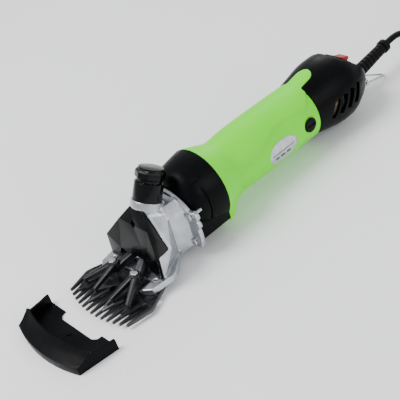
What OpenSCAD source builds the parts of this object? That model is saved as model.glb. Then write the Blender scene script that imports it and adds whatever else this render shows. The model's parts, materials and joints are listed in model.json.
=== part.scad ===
// Corded electric sheep shears: gear head with comb and cutter, motor grip, mains lead and comb guard.
// The tool lies on its comb screws and its rear cover, and +X runs from the comb to the lead.

/* [Grip and motor] */
// Radius of the round grip
grip_r = 27.2; // [26:0.1:30]
// Thickness of the moulded shells
wall = 2.5; // [2:0.1:3]
// Where the grip ends and the rear cover starts, measured from the head flange
grip_end = 157; // [150:1:165]
// Distance from the flange to the carbon brushes
brush_x = 143.5; // [142:0.5:146]

/* [Gear housing] */
// Length of the black gear housing
collar_len = 32; // [30:1:34]
// Radius of the gear housing at the grip
collar_r = 34; // [33:0.5:35]
// Half width of the square foot under the gear housing
foot_half_w = 29; // [28:0.5:30]
// Depth of the flat foot below the motor axis
foot_z = 28; // [27:0.5:28]

/* [Gear pair] */
// Gear module
gear_m = 0.6; // [0.6:0.1:0.6]
// Teeth on the motor pinion
pinion_teeth = 10; // [10:1:10]
// Teeth on the driven gear
gear_teeth = 30; // [30:1:30]
// Throw of the crank pin
crank_throw = 3.2; // [2.5:0.1:3.2]

/* [Comb and cutter] */
// Number of comb teeth
comb_teeth = 13; // [9:2:13]
// Spacing of the comb teeth
comb_pitch = 6.2; // [6:0.1:6.4]
// Pitch of the comb plane against the motor axis
comb_tilt = 2.7; // [2:0.1:3]
// Thickness of the comb
comb_t = 3; // [2.5:0.1:3.2]
// Number of cutter teeth
cutter_teeth = 4; // [4:1:4]

/* [Tension knob] */
// Lean of the knob axis towards the grip
knob_lean = 29; // [27:1:31]
// Radius across the corners of the knob cap
knob_r = 12.4; // [11:0.1:13]

/* [Rear end] */
// Largest radius of the rear cover
rear_r = 33; // [32:0.5:34]
// Upward pitch of the cord guard against the motor axis
guard_pitch = 9; // [8:0.5:10]
// Diameter of the mains lead
cord_d = 6.4; // [6:0.1:7]

/* [Comb guard] */
// Outer half width at the front
shield_front = 40; // [39:0.5:41]
// Outer half width at the rear arms
shield_rear = 45.5; // [45:0.5:46]
// Height of the guard
shield_h = 15; // [14:0.5:16]

/* [Hidden] */
$fn = 64;

gap = 0.3;
fit = 0.05;

// Resting pose of the tool: it touches the floor at the comb screws and the rear cover.
rest_tilt = 1.554;
rest_lift = 38.49;
origin_x = 67.5;

// Comb plane
tip_x = -103.4;
tip_z = -35.8;
tip_arc_r = 90;
comb_body_u = 29;
comb_rear_u = 58;
comb_screw_u = 50;
comb_screw_y = 27;

// Tension axis foot on the boss
boss_x = -21.6;
boss_z = 21.1;
boss_h = 6;

// Gear train
pinion_r = gear_m * pinion_teeth / 2;
gear_r = gear_m * gear_teeth / 2;
crank_z = -(pinion_r + gear_r);
gear_face_x = 14;
gear_w = 7;
roller_x = -6;

// Fork
fulcrum_x = -38;
fulcrum_z = -21.4;
post_r = 2.6;
clevis_y = 9.3;
fork_z = -13;
fork_t = 7;
yoke_u = 42;
yoke_y = 14;
prong_u = [14.5, 17];
prong_y = [10.9, 27.8];
prong_z = 6.5;

shell_r = grip_r - wall;

lime = [0.55, 0.86, 0.24];
black = [0.08, 0.08, 0.09];
cast = [0.78, 0.79, 0.8];
steel = [0.6, 0.61, 0.63];
dark_steel = [0.2, 0.2, 0.21];
copper = [0.72, 0.4, 0.2];

// ---------- frames and helpers ----------
module tool() {
  translate([-origin_x, 0, rest_lift]) rotate([0, rest_tilt, 0]) children();
}
module comb_frame() {
  tool() translate([tip_x, 0, tip_z]) rotate([0, -comb_tilt, 0]) children();
}
module tension_frame() {
  tool() translate([boss_x, 0, boss_z]) rotate([0, knob_lean, 0]) children();
}
module along_x(x, z = 0, y = 0) {
  translate([x, y, z]) rotate([0, 90, 0]) children();
}
module in_yz(x, t) {
  translate([x, 0, 0]) rotate([90, 0, 90]) linear_extrude(t) children();
}
module both_sides() {
  children();
  mirror([0, 1, 0]) children();
}
module tube_x(x, len, ro, ri, z = 0) {
  along_x(x, z) difference() {
    cylinder(r = ro, h = len);
    translate([0, 0, -1]) cylinder(r = ri, h = len + 2);
  }
}
// Solid of revolution about the motor axis from [x, r] points
module lathe(points) {
  rotate([0, 90, 0]) rotate_extrude() polygon([for (p = points) [p[1], p[0]]]);
}
module block(low, high) {
  translate(low) cube(high - low);
}
module ring_of(n, r) {
  for (i = [0 : n - 1]) rotate(360 * i / n) translate([r, 0, 0]) children();
}

// ---------- gears ----------
function involute(rb, a) = let (t = a * PI / 180) rb * [cos(a) + t * sin(a), sin(a) - t * cos(a)];
function turn(p, a) = [p[0] * cos(a) - p[1] * sin(a), p[0] * sin(a) + p[1] * cos(a)];
function roll_angle(rb, r) = sqrt(max(0, (r / rb) * (r / rb) - 1)) * 180 / PI;
// Outline of one gear: involute flanks from the root circle to a shortened tip
function gear_points(teeth, add, ded, thin) = let (
    rp = gear_m * teeth / 2,
    rb = rp * cos(20),
    ra = rp + add * gear_m,
    rf = rp - ded * gear_m,
    half = 90 / teeth - thin / rp * 90 / PI,
    at_pitch = roll_angle(rb, rp),
    lead = atan2(involute(rb, at_pitch)[1], involute(rb, at_pitch)[0]),
    top = roll_angle(rb, ra),
    low = max(rf, rb),
    flank = [for (k = [0 : 4]) turn(involute(rb, roll_angle(rb, low) + (top - roll_angle(rb, low)) * k / 4),
        -half - lead)]
  ) [for (i = [0 : teeth - 1]) let (a = 360 * i / teeth)
      each concat([turn([rf, 0], a - half - lead)], [for (p = flank) turn(p, a)],
        [for (k = [4 : -1 : 0]) turn([flank[k][0], -flank[k][1]], a)], [turn([rf, 0], a + half + lead)])];

// ---------- head ----------
cover_top = [-34, 8.2, 20];
cover_side = [-37.2, 32.9, -5.6];
cover_notch = [-49.4, 32.2, -7.5];
cover_low = [-50.4, 31.8, -27];
cover_nose = [-41.4, 18, 9];
cover_crease = [-49, 17, -16];
cover_heel = [-50.5, 19, -22.5];
cover_screw_z = 9.5;

module flange_outline() {
  intersection() {
    translate([0, -15.4]) circle(r = 34.5);
    translate([-35, -foot_z]) square([70, 60]);
  }
}
module neck_section(half_w, low, high, c) {
  polygon([[-half_w, low], [half_w, low], [half_w, high - c], [half_w - c, high],
    [c - half_w, high], [-half_w, high - c]]);
}
module base_outline() {
  polygon([[36, 20], [37.5, 27], [42, 33], [53, 34.5], [61, 36], [66, 34.5], [73, 29.5], [80, 24],
    [86, 19], [98, 19], [98, -19], [86, -19], [80, -24], [73, -29.5], [66, -34.5], [61, -36],
    [53, -34.5], [42, -33], [37.5, -27], [36, -20]]);
}
// Sheet along the shield's outline, from its front (0) to its rear (1) face and beyond
function cover_at(p, s) = [p[0] + 2.6 * s, p[1] * (1 - 0.06 * s), p[2] - s];
module cover_sheet(from, to) {
  mid = [cover_top, cover_side, cover_notch, cover_low, cover_heel, cover_crease, cover_nose];
  m = len(mid);
  both = concat(mid, [for (p = mid) [p[0], -p[1], p[2]]]);
  // Facets over the +Y half and the middle strip, by index into mid, then the open rim
  half_faces = [[0, 6, 1], [6, 2, 1], [6, 5, 2], [5, 3, 2], [5, 4, 3]];
  other = [for (f = half_faces) [for (i = [2 : -1 : 0]) f[i] + m]];
  skin = concat(half_faces, other, [[0, m, m + 6, 6], [6, m + 6, m + 5, 5]]);
  rim = [[0, 1], [1, 2], [2, 3], [3, 4], [4, 5], [5, m + 5], [m + 5, m + 4], [m + 4, m + 3], [m + 3, m + 2],
    [m + 2, m + 1], [m + 1, m], [m, 0]];
  polyhedron(points = concat([for (p = both) cover_at(p, from)], [for (p = both) cover_at(p, to)]),
    faces = concat([for (f = skin) [for (i = [len(f) - 1 : -1 : 0]) f[i]]],
      [for (f = skin) [for (i = f) i + 2 * m]],
      [for (e = rim) [e[0], e[1], e[1] + 2 * m, e[0] + 2 * m]]), convexity = 4);
}
module fulcrum_frame() {
  tool() translate([fulcrum_x, 0, fulcrum_z]) rotate([0, -comb_tilt, 0]) children();
}
module head_casting() {
  color(cast) difference() {
    union() {
      tool() {
        in_yz(-6, 4) flange_outline();
        in_yz(-6, 4) both_sides() {
          translate([-32, -4]) circle(r = 4.5);
          translate([-28, 3]) circle(r = 4.4);
        }
        hull() {
          in_yz(-7, 1.5) neck_section(24, -27.5, 17, 9);
          in_yz(-21, 1) neck_section(19, -27.5, 15, 7);
        }
        hull() {
          in_yz(-21, 1) neck_section(19, -27.5, 15, 7);
          both_sides() for (p = [cover_top, cover_side, cover_notch, cover_low])
            translate([p[0] + 3.2, p[1] - 0.5, p[2] - 0.5]) cube([1, 1, 1], center = true);
        }
      }
      // Boss under the knob, flared into the neck
      tension_frame() translate([0, 0, -boss_h]) cylinder(r = 13, h = boss_h);
      hull() {
        tension_frame() translate([0, 0, -boss_h - 0.5]) cylinder(r = 12.6, h = 0.6);
        tool() {
          in_yz(-16, 1) neck_section(19, 0, 12, 6);
          in_yz(-32, 1) neck_section(16, -6, 14, 6);
        }
      }
      comb_frame() translate([0, 0, 0.02]) linear_extrude(6) base_outline();
    }
    // Room for the fork, the crank roller and the yokes
    tool() {
      block([-22, -17, -25], [-1, 17, -0.5]);
      hull() {
        block([-23, -17, -25], [-22, 17, -0.5]);
        block([-62, -25, -27], [-61, 25, -12]);
        block([-46, -20, -26], [-45, 20, -3]);
      }
    }
    comb_frame() translate([30, -21.5, -1]) cube([19, 43, 12]);
    comb_frame() translate([30, -24.5, 4]) cube([32, 49, 12]);
    // Bores for the tension pin, the crank, the fulcrum post and the screws
    tension_frame() translate([0, 0, -40]) cylinder(r = 4 + fit, h = 50);
    fulcrum_frame() translate([0, 0, -18]) cylinder(r = 4, h = 13);
    comb_frame() both_sides() translate([comb_screw_u, comb_screw_y, -1]) cylinder(r = 2, h = 12);
    tool() both_sides() along_x(-8, 3, 28) cylinder(r = 1.8, h = 10);
    tool() both_sides() along_x(-8, -23, 26) cylinder(r = 1.8, h = 10);
    tool() along_x(-60, cover_screw_z) cylinder(r = 1.6, h = 27);
    // Seats of the shield and of the knob's sleeve
    tool() cover_sheet(-4, 1.04);
    tension_frame() cylinder(r = 12.1, h = 30);
  }
}
// Faceted shield in front of the fork
module face_cover() {
  color(black) tool() difference() {
    cover_sheet(0, 1);
    along_x(-60, cover_screw_z) cylinder(r = 2.6, h = 40);
  }
}
module face_cover_screw() {
  color(steel) tool() {
    along_x(-39.2, cover_screw_z) cylinder(r = 2.5, h = 1.6);
    along_x(-38, cover_screw_z) cylinder(r = 1.5, h = 4.4);
  }
}
module flange_screw(y, z) {
  along_x(-8.2, z, y) cylinder(r = 3, h = 2);
  along_x(-7, z, y) cylinder(r = 1.7, h = 13);
}
module flange_screws() {
  color(steel) tool() both_sides() {
    difference() {
      flange_screw(28, 3);
      translate([-8.4, 25, 2.6]) cube([0.8, 6, 0.8]);
    }
    flange_screw(26, -23);
  }
}

// ---------- comb, cutter and fork, in the comb plane ----------
function tooth_y(i, n, pitch) = (i - (n - 1) / 2) * pitch;
function tip_u(y) = y * y / (2 * tip_arc_r);

// One closed outline: the teeth from +Y to -Y with round tips, then round the rear of the comb
function tooth_points(y) = let (u = tip_u(y), root = y * 1.09, r = 0.95)
  concat([[comb_body_u, root + 2], [u + 2, y + r]],
    [for (a = [60 : -20 : -60]) [u + r + 0.05 - r * cos(a), y + r * sin(a)]],
    [[u + 2, y - r], [comb_body_u, root - 2]]);
module comb_outline() {
  polygon(concat([for (i = [comb_teeth - 1 : -1 : 0]) each tooth_points(tooth_y(i, comb_teeth, comb_pitch))],
    [[33, -41.4], [51, -33], [comb_rear_u, -31], [comb_rear_u, 31], [51, 33], [33, 41.4]]));
}
module comb() {
  color(dark_steel) comb_frame() difference() {
    translate([0, 0, -comb_t]) linear_extrude(comb_t) comb_outline();
    // Teeth thin down towards their tips
    translate([0, -50, -comb_t]) rotate([0, 4.5, 0]) translate([-20, 0, -10]) cube([46, 100, 11.2]);
    // Open slots for the comb screws and the see-through slots beside them
    both_sides() {
      translate([comb_screw_u, comb_screw_y, -comb_t - 1]) cylinder(r = 2.3, h = comb_t + 2);
      translate([comb_screw_u, comb_screw_y - 2.3, -comb_t - 1]) cube([20, 4.6, comb_t + 2]);
      translate([36, 34, -comb_t - 1]) cube([6, 2.4, comb_t + 2]);
    }
  }
}
module comb_screws() {
  color(steel) comb_frame() both_sides() translate([comb_screw_u, comb_screw_y, 0]) {
    difference() {
      translate([0, 0, -comb_t - 3.4]) cylinder(r = 4.6, h = 3.35);
      translate([-5, -0.6, -comb_t - 3.7]) cube([10, 1.2, 1.3]);
    }
    translate([0, 0, -comb_t - 0.5]) cylinder(r = 1.95, h = 9);
  }
}
module cutter() {
  tooth_gap = comb_pitch * 3;
  color(dark_steel) comb_frame() difference() {
    union() {
      translate([0, 0, fit]) linear_extrude(2.6) difference() {
        union() {
          for (i = [0 : cutter_teeth - 1]) {
            y = tooth_y(i, cutter_teeth, tooth_gap);
            u = tip_u(y) + 6;
            polygon([[u, y - 0.9], [u, y + 0.9], [31, y + 8.4], [31, y - 8.4]]);
          }
          polygon([[28, -35.5], [28, 35.5], [31, 33], [33.4, 24], [34.8, 12], [34.8, -12], [33.4, -24], [31, -33]]);
        }
        for (i = [0 : cutter_teeth - 2])
          translate([27, tooth_y(i, cutter_teeth - 1, tooth_gap)]) circle(r = 4.2, $fn = 32);
      }
      for (s = [-1, 1], k = [0, 1]) translate([prong_u[k] + 3, s * prong_y[k], 2]) cylinder(r = 1.9, h = 1.4);
    }
    // Flutes that thin the blade between its teeth
    for (i = [0 : cutter_teeth - 1])
      translate([12, tooth_y(i, cutter_teeth, tooth_gap), 4.2]) rotate([0, 90, 0]) cylinder(r = 2.2, h = 8);
  }
}
// One V-shaped yoke: a hub and two prongs that press on the cutter
module yoke(s) {
  color(black) comb_frame() difference() {
    union() {
      translate([yoke_u, s * yoke_y, 9.2]) cylinder(r = 4.6, h = 4.4);
      for (k = [0, 1]) {
        hull() {
          translate([yoke_u - 1, s * (yoke_y + (k * 2 - 1) * 1.6), 9.4]) cylinder(r = 2.6, h = 3.8, $fn = 24);
          translate([prong_u[k] + 3, s * prong_y[k], prong_z - 1.6]) cylinder(r = 1.6, h = 3, $fn = 24);
        }
        translate([prong_u[k] + 3, s * prong_y[k], 3.6]) cylinder(r = 1.3, h = 4);
      }
    }
    translate([yoke_u, s * yoke_y, 5]) cylinder(r = 2.1, h = 12);
    // Seat on the end of the fork's arm
    translate([yoke_u, s * yoke_y, 3]) cylinder(r = 4.8, h = 6.2);
  }
}
module yoke_left() { yoke(1); }
module yoke_right() { yoke(-1); }
module yoke_screws() {
  color(steel) comb_frame() both_sides() translate([yoke_u, yoke_y, 0]) {
    translate([0, 0, 13.65]) cylinder(r = 3.4, h = 2.2, $fn = 6);
    translate([0, 0, 4]) cylinder(r = 2.05, h = 10);
  }
}
module fork() {
  low = fork_z - fork_t / 2;
  color(dark_steel) difference() {
    union() {
      tool() {
        // Rear clevis round the crank roller
        both_sides() block([-24, clevis_y, low], [-3.5, clevis_y + 2.7, low + fork_t]);
        block([-27, -clevis_y - 2.7, low], [-23.5, clevis_y + 2.7, low + fork_t]);
        block([-43.4, -5.5, low], [-26, 5.5, low + fork_t]);
      }
      fulcrum_frame() cylinder(r = 6, h = 5.2);
      // Arms down to the yokes
      both_sides() hull() {
        tool() block([-44, 3.2, low - 5.4], [-36, 8, low + 0.1]);
        comb_frame() translate([yoke_u, yoke_y, 4.9]) cylinder(r = 4, h = 4.2, $fn = 32);
      }
    }
    fulcrum_frame() translate([0, 0, -1]) cylinder(r = post_r + fit, h = 6);
    tension_frame() translate([0, 0, -40]) cylinder(r = 3.2, h = 8.4);
    comb_frame() both_sides() {
      translate([yoke_u, yoke_y, 3]) cylinder(r = 2.06, h = 14);
      translate([yoke_u, yoke_y, 9.15]) cylinder(r = 5.2, h = 10);
    }
  }
}
module fork_cup() {
  color(steel) tension_frame() difference() {
    translate([0, 0, -39.9]) cylinder(r = 3.15, h = 5.5);
    translate([0, 0, -34.2]) sphere(r = 2.9);
  }
}
module fulcrum_post() {
  color(steel) fulcrum_frame() {
    translate([0, 0, -11.2]) cylinder(r = 3.95, h = 7.2);
    translate([0, 0, -4]) cylinder(r = post_r, h = 8.4);
  }
}

// ---------- tension knob, along the leaning axis ----------
module tension_sleeve() {
  color(black) tension_frame() difference() {
    cylinder(r = 12, h = 15);
    translate([0, 0, -1]) cylinder(r = 5.6, h = 17);
    translate([0, 0, 3]) cylinder(r = 9, h = 13);
  }
}
module tension_pin() {
  color(steel) tension_frame() {
    translate([0, 0, -33.3]) sphere(r = 2.4);
    translate([0, 0, -33]) cylinder(r = 2.4, h = 8);
    translate([0, 0, -25.2]) cylinder(r = 4, h = 47.2);
  }
}
module tension_knob() {
  color(black) tension_frame() difference() {
    union() {
      translate([0, 0, 15.6]) cylinder(r = 10.4, h = 2.2);
      translate([0, 0, 17.4]) cylinder(r1 = knob_r - 1, r2 = knob_r, h = 1.4, $fn = 8);
      translate([0, 0, 18.8]) cylinder(r = knob_r, h = 4.4, $fn = 8);
      translate([0, 0, 23.2]) cylinder(r1 = knob_r, r2 = 10.6, h = 2.4, $fn = 8);
      translate([0, 0, 25]) cylinder(r = 10.2, h = 1.7);
    }
    translate([0, 0, 15]) cylinder(r = 4 + fit, h = 7.2);
  }
}
module tension_spring() {
  turns = 4;
  color(steel) tension_frame() for (k = [0 : turns - 1]) translate([0, 0, 4.2 + k * 2.6])
    rotate_extrude() translate([6.6, 0]) circle(r = 0.7, $fn = 16);
}

// ---------- gear housing and gears ----------
module foot_outline(half_w, depth) {
  polygon([[-half_w, -depth + 4], [-half_w + 4, -depth], [half_w - 4, -depth], [half_w, -depth + 4],
    [half_w, -14], [half_w - 5, -9], [5 - half_w, -9], [-half_w, -14]]);
}
module gear_housing() {
  color(black) tool() difference() {
    union() {
      lathe([[-1.7, 0], [-1.7, 20], [1.5, 25.2], [5, 28], [9, 30], [14, 31.2], [22, 32.6],
        [collar_len, collar_r], [collar_len, 0]]);
      in_yz(-1.7, collar_len + 1.7) foot_outline(foot_half_w, foot_z);
    }
    lathe([[3, 0], [3, 17], [7, 25], [12, 27.5], [collar_len + 1, 30], [collar_len + 1, 0]]);
    // The flange ears and the front screws
    in_yz(-3, 1.6) offset(delta = 0.02) flange_outline();
    both_sides() {
      along_x(-3, 3, 28) cylinder(r = 1.8, h = 10);
      along_x(-3, -23, 26) cylinder(r = 1.8, h = 10);
      // Curved slit and leaf-shaped slit on the cheeks
      intersection() {
        tube_x(12.6, 2.2, 40, 30.2);
        block([12, 12, -11], [16, 40, 18]);
      }
      rotate([-40, 0, 0]) hull() {
        translate([3, 0, 32]) rotate([0, 0, 45]) cube([1, 1, 5], center = true);
        translate([10, 0, 33]) cube([3, 4, 5], center = true);
        translate([18, 0, 33]) cube([1, 1, 4], center = true);
      }
    }
    along_x(-3, crank_z) cylinder(r = 7, h = 8);
  }
}
// Shielded ball bearing: two races with a recessed shield between them
module bearing_ring(x, z, ro, ri, w) {
  race = 1.1;
  difference() {
    tube_x(x, w, ro, ri, z);
    for (end = [x - 1, x + w - 0.4]) tube_x(end, 1.4, ro - race, ri + race, z);
  }
}
module crank_bearings() {
  color(steel) tool() {
    bearing_ring(-1.7, crank_z, 7, 3 + fit, 4.5);
    bearing_ring(gear_face_x + gear_w + 3, crank_z, 7, 3 + fit, 4);
  }
}
module crank_shaft() {
  color(steel) tool() {
    along_x(-2.4, crank_z) cylinder(r = 3, h = 32);
    along_x(-5, crank_z) cylinder(r = 6, h = 2.6);
    along_x(-11.5, crank_z + crank_throw) cylinder(r = 1.5, h = 6.6);
  }
}
module crank_roller() {
  color(steel) tool() tube_x(-11, 5, 2.5, 1.5 + fit, crank_z + crank_throw);
}
module driven_gear() {
  color(steel) tool() along_x(gear_face_x, crank_z) difference() {
    union() {
      linear_extrude(gear_w) polygon(gear_points(gear_teeth, 0.85, 1.25, 0.12));
      translate([0, 0, gear_w - 0.1]) cylinder(r = 5, h = 2);
    }
    translate([0, 0, -1]) cylinder(r = 3, h = 12);
    ring_of(6, 5.6) translate([0, 0, -1]) cylinder(r = 1.1, h = gear_w + 2);
  }
}
module motor_pinion() {
  color(steel) tool() along_x(gear_face_x - 0.5) difference() {
    rotate(180 / pinion_teeth) linear_extrude(gear_w + 1) polygon(gear_points(pinion_teeth, 0.85, 1.25, 0.12));
    translate([0, 0, -1]) cylinder(r = 1.5, h = 12);
  }
}

// ---------- motor ----------
module motor_plate() {
  color(black) tool() difference() {
    union() {
      tube_x(24, 4.2, 28.8, 25);
      tube_x(28, 3, 29.4, 6);
      tube_x(31, 7, 12, 8);
      tube_x(31, 4, 23.9, 22);
    }
    along_x(20, crank_z) cylinder(r = 7, h = 8.2);
    along_x(20, crank_z) cylinder(r = 4, h = 20);
    ring_of_x(6, 18) cylinder(r = 2.4, h = 12);
  }
}
module ring_of_x(n, r) {
  for (i = [0 : n - 1]) rotate([360 * (i + 0.5) / n, 0, 0]) along_x(26, r) children();
}
module motor_bearings() {
  color(steel) tool() {
    bearing_ring(31.4, 0, 8, 3 + fit, 5);
    bearing_ring(161, 0, 8, 3 + fit, 5);
  }
}
module motor_shaft() {
  color(steel) tool() {
    along_x(gear_face_x - 0.5) cylinder(r = 1.5, h = 14.1);
    along_x(27.6) cylinder(r = 3, h = 139.4);
  }
}
module cooling_fan() {
  blades = 11;
  color(black) tool() {
    tube_x(42, 12, 5.5, 3);
    tube_x(52.5, 1.5, 21, 5);
    along_x(43) for (i = [0 : blades - 1]) rotate(360 * i / blades)
      translate([5, -0.5, 0]) rotate([8, 0, 0]) cube([15.6, 1.2, 10]);
  }
}
module air_baffle() {
  color(black) tool() {
    tube_x(57, 1.6, 24.5, 19);
  }
}
// Spider that holds the rear motor bearing
module rear_bracket() {
  color(black) tool() difference() {
    union() {
      tube_x(158, 2.6, 24.2, 6);
      tube_x(160, 6, 11, 8 + fit);
    }
    ring_of_x(6, 17) translate([0, 0, 120]) cylinder(r = 4.4, h = 30);
  }
}
module armature_core() {
  slots = 12;
  color(steel) tool() along_x(76) difference() {
    cylinder(r = 16, h = 40);
    translate([0, 0, -1]) cylinder(r = 3, h = 42);
    ring_of(slots, 13.2) translate([0, 0, -1]) cylinder(r = 1.9, h = 42, $fn = 24);
    ring_of(slots, 15.5) translate([-1.5, -0.6, -1]) cube([3, 1.2, 42]);
  }
}
module armature_windings() {
  slots = 12;
  color(copper) tool() {
    along_x(66) rotate_extrude() polygon([[5, 3], [9, 0], [13, 2], [14.6, 6], [14.6, 9.9], [3, 9.9], [3, 3]]);
    along_x(116.1) rotate_extrude() polygon([[3, 0], [14.6, 0], [14.6, 5], [12, 9], [9, 11], [3, 11]]);
    along_x(76) ring_of(slots, 13.2) cylinder(r = 1.75, h = 40, $fn = 24);
  }
}
module commutator() {
  bars = 24;
  color(copper) tool() along_x(131) difference() {
    union() {
      cylinder(r = 9.5, h = 3);
      cylinder(r = 8.5, h = 22);
    }
    translate([0, 0, -1]) cylinder(r = 3, h = 24);
    ring_of(bars, 8.3) translate([-0.5, -0.2, -1]) cube([2, 0.4, 24]);
  }
}
module stator_core() {
  color(steel) tool() difference() {
    tube_x(74, 44, 24.5, 16.6);
    // Pole gaps above and below that hold the field windings
    for (s = [-1, 1]) translate([96, 0, s * 17.5]) cube([60, 16, 8], center = true);
  }
}
module field_windings() {
  color(copper) tool() for (s = [-1, 1]) translate([0, 0, s * 17.8]) difference() {
    translate([96, 0, 0]) cube([58, 15, 5], center = true);
    translate([96, 0, -s * 2]) cube([46, 4, 8], center = true);
    translate([0, 0, -s * 17.8]) along_x(60) cylinder(r = 16.8, h = 80);
  }
}
module brush_holders() {
  color([0.35, 0.25, 0.12]) tool() both_sides() translate([brush_x, 0, 0]) rotate([-90, 0, 0]) difference() {
    translate([0, 0, 10.4]) cylinder(r = 5.2, h = 13.4);
    translate([-2.6, -3.6, 9]) cube([5.2, 7.2, 20]);
  }
}
module carbon_brushes() {
  color([0.15, 0.15, 0.15]) tool() both_sides() translate([brush_x, 0, 0])
    translate([-2.5, 8.6, -3.5]) cube([5, 8, 7]);
}
module brush_springs() {
  color(steel) tool() both_sides() translate([brush_x, 0, 0]) rotate([-90, 0, 0])
    for (k = [0 : 3]) translate([0, 0, 17.4 + k * 1.7]) rotate_extrude() translate([1.7, 0]) circle(r = 0.4, $fn = 12);
}
module brush_caps() {
  color(black) tool() both_sides() translate([brush_x, 0, 0]) rotate([-90, 0, 0]) difference() {
    union() {
      translate([0, 0, 23.9]) cylinder(r = 5.2, h = 2);
      translate([0, 0, 25.6]) cylinder(r = 6.6, h = 1.9);
    }
    translate([-5, -0.8, 26.6]) cube([10, 1.6, 2]);
  }
}

// ---------- grip and rear cover ----------
grip_profile = [[collar_len, collar_r], [35, 33.2], [39, 31.9], [46, 29.3], [51, 27.4], [55, 26.5], [60, 26.4],
  [68, 26.8], [80, grip_r], [134, grip_r], [grip_end, 26.8]];
rear_profile = [[grip_end, 26.8], [163, 27.9], [168.5, 28.9], [174.5, 30.2], [180, 31.4], [186, 32.4],
  [192, 32.9], [198, rear_r], [203, rear_r - 0.1], [209, 31.4], [213, 29.8], [219, 27.2], [224, 24.6],
  [229, 21.2], [233, 17.7], [236, 14.2], [238.5, 10.4], [240, 8.4]];
rear_inside = [[grip_end - 1, 24.4], [168, 26.2], [180, 28.7], [190, 30.2], [204, 30.2], [213, 27.2],
  [222, 23.1], [230, 17.5], [235, 11.8], [236.8, 8]];
tongue_end = 178;
tongue_half_w = 8.5;
rear_screw = [11, -17];

// Plane of the slanted switch panel, from the crown of the rear cover down to the cord guard
panel_slope = 40.8;
panel_x = 218.6;
panel_z = 19.3;

module closed_lathe(points) {
  lathe(concat([[points[0][0], 0]], points, [[points[len(points) - 1][0], 0]]));
}
module panel_frame_local() {
  translate([panel_x, 0, panel_z]) rotate([0, panel_slope, 0]) children();
}
module panel_frame() {
  tool() panel_frame_local() children();
}
module tongue_prism(grow) {
  linear_extrude(60) {
    translate([tongue_end - tongue_half_w, 0]) circle(r = tongue_half_w + grow);
    translate([grip_end - 3, -tongue_half_w - grow]) square([tongue_end - tongue_half_w - grip_end + 3,
      2 * (tongue_half_w + grow)]);
  }
}
module grip_housing() {
  color(lime) tool() difference() {
    union() {
      closed_lathe(grip_profile);
      hull() {
        in_yz(collar_len, 8) foot_outline(foot_half_w, foot_z);
        in_yz(51, 1) intersection() {
          circle(r = 26.4, $fn = 48);
          translate([-30, -40]) square([60, 36]);
        }
      }
    }
    lathe([[collar_len - 1, 0], [collar_len - 1, 29.6], [36, 29.4], [41, shell_r], [grip_end + 1, shell_r],
      [grip_end + 1, 0]]);
    // Brush holes with a seat for each cap
    translate([brush_x, 0, 0]) rotate([90, 0, 0]) cylinder(r = 5.3, h = 80, center = true);
    both_sides() translate([brush_x, 25.4, 0]) rotate([-90, 0, 0]) cylinder(r = 6.8, h = 8);
  }
  // Tongue over the top of the rear cover
  color(lime) tool() intersection() {
    difference() {
      closed_lathe(rear_profile);
      translate([-0.2, 0, -0.4]) closed_lathe([for (p = rear_profile) [p[0], p[1] - 1.1]]);
    }
    tongue_prism(0);
    translate([grip_end, -20, 0]) cube([60, 40, 60]);
  }
}
module rating_label() {
  color([0.72, 0.73, 0.76]) tool() intersection() {
    tube_x(85, 45, grip_r + 0.25, grip_r + 0.02);
    translate([107.5, 0, -4.5]) rotate([90, 0, 0]) linear_extrude(60) label_outline();
  }
}
// Oval with flattened long sides, built from arcs
module label_outline() {
  intersection() {
    translate([0, -20]) circle(r = 31);
    translate([0, 20]) circle(r = 31);
    square([36, 40], center = true);
  }
}
module rear_cover() {
  color(black) difference() {
    union() {
      tool() closed_lathe(rear_profile);
      tool() both_sides() along_x(230, -13, 9.8) block([-3.5, -1.5, 0], [3.5, 1.5, 11]);
    }
    tool() {
      difference() {
        closed_lathe(rear_inside);
        panel_frame_local() translate([-60, -40, -2.5]) cube([120, 80, 60]);
      }
      panel_frame_local() translate([-60, -40, 0]) cube([120, 80, 60]);
      // Seat for the grip's tongue
      intersection() {
        difference() {
          translate([0, 0, 1]) closed_lathe([for (p = rear_profile) [p[0], p[1] + 1]]);
          translate([-0.2, 0, -0.7]) closed_lathe([for (p = rear_profile) [p[0], p[1] - 1.3]]);
        }
        tongue_prism(0.2);
        translate([grip_end - 2, -20, 0]) cube([60, 40, 60]);
      }
      // Slanted vents on both cheeks
      both_sides() for (i = [0 : 3])
        translate([175 + 9.3 * i, 29, -1 + i * 0.8]) rotate([0, 26, 0]) cube([5.2, 16, 18], center = true);
      // Switch cut-out, cord bush seat, screw holes and loop pin holes
      panel_frame_local() translate([-9.6, -6.6, -6]) cube([19.2, 13.2, 12]);
      guard_axis() translate([0, 0, -12]) cylinder(r = 6.75, h = 30);
      guard_axis() translate([0, 0, -12]) cylinder(r = 7.2, h = 4.4);
      both_sides() {
        translate([238, 14, -13]) rotate([90, 0, 0]) cylinder(r = 1.05, h = 8);
        along_x(215, rear_screw[1], rear_screw[0]) cylinder(r = 1.6, h = 30);
        along_x(227.2, rear_screw[1], rear_screw[0]) cylinder(r = 3.4, h = 30);
      }
    }
  }
}
module guard_axis() {
  translate([240, 0, -8.2]) rotate([0, 90 - guard_pitch, 0]) children();
}
module rear_cover_screws() {
  color(steel) tool() both_sides() {
    along_x(227.25, rear_screw[1], rear_screw[0]) cylinder(r = 3.2, h = 1.8);
    along_x(216, rear_screw[1], rear_screw[0]) cylinder(r = 1.5, h = 11.3);
  }
}
module switch_body() {
  color(black) panel_frame() difference() {
    union() {
      translate([-10.5, -7.5, 0.05]) cube([21, 15, 1.6]);
      translate([-9.5, -6.5, -14]) cube([19, 13, 14.1]);
    }
    translate([-8.9, -5.6, -7]) cube([17.8, 11.2, 12]);
    rotate([90, 0, 0]) translate([0, -1.2, -10]) cylinder(r = 1.05, h = 20);
  }
}
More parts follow.
